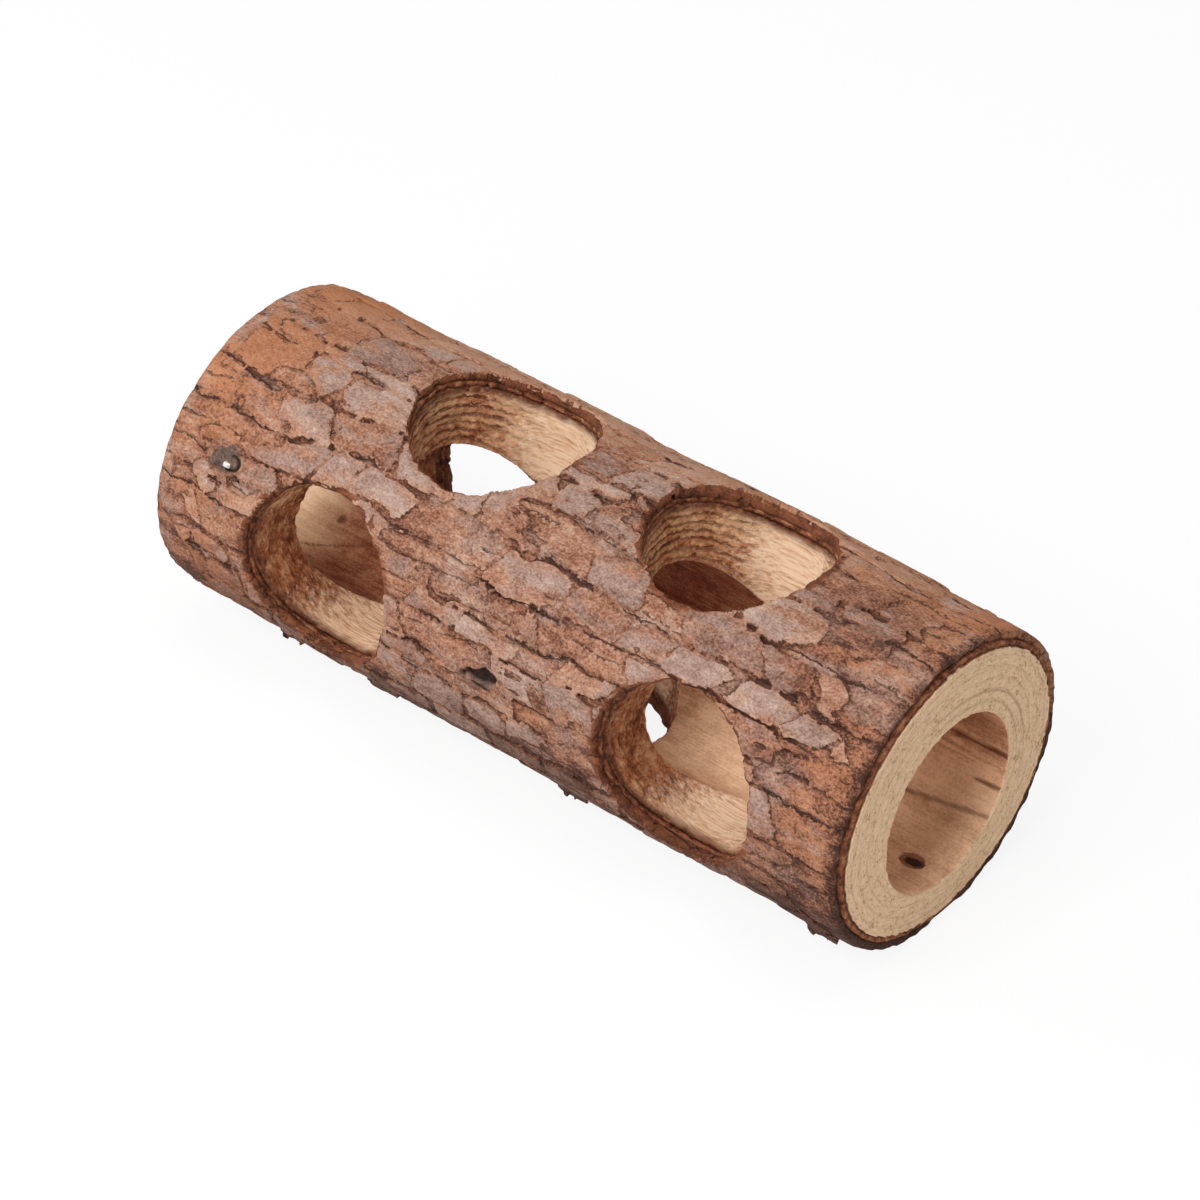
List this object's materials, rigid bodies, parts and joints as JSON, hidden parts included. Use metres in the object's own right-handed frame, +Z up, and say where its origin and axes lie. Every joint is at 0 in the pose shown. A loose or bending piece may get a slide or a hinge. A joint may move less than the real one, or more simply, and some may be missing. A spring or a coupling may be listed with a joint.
{
  "type": "hamster tunnel",
  "caption": "Bark-covered log tunnel for a small pet: a sawn log bored from end to end, with round holes drilled in from its sides.",
  "frame": {"origin": "on the surface that the log lies on, under the middle of its length and width", "axes": "+X along the log to the end whose bore the picture shows, +Z up, -Y to the side facing the picture"},
  "size_m": [0.2, 0.082, 0.0752],
  "materials": {
    "wood": "raw sawn and drilled wood",
    "inner_bark": "fibrous, matte",
    "bark": "rough bark, matte",
    "bark_scales": "weathered grey bark scales, matte",
    "knot": "dark dead knot, matte",
    "resin": "dried whitish resin, slightly glossy"
  },
  "bodies": {
    "root": {"wood_tube": "wood", "inner_bark": "inner_bark", "outer_bark": "bark", "bark_scales_top": "bark_scales", "bark_scales_front": "bark_scales", "bark_scales_back": "bark_scales", "bark_scales_underside": "bark_scales", "resin_knot": "knot", "resin_bead": "resin", "front_knot": "knot", "bore_knot": "knot", "loose_flakes": "bark"}
  },
  "joints": []
}
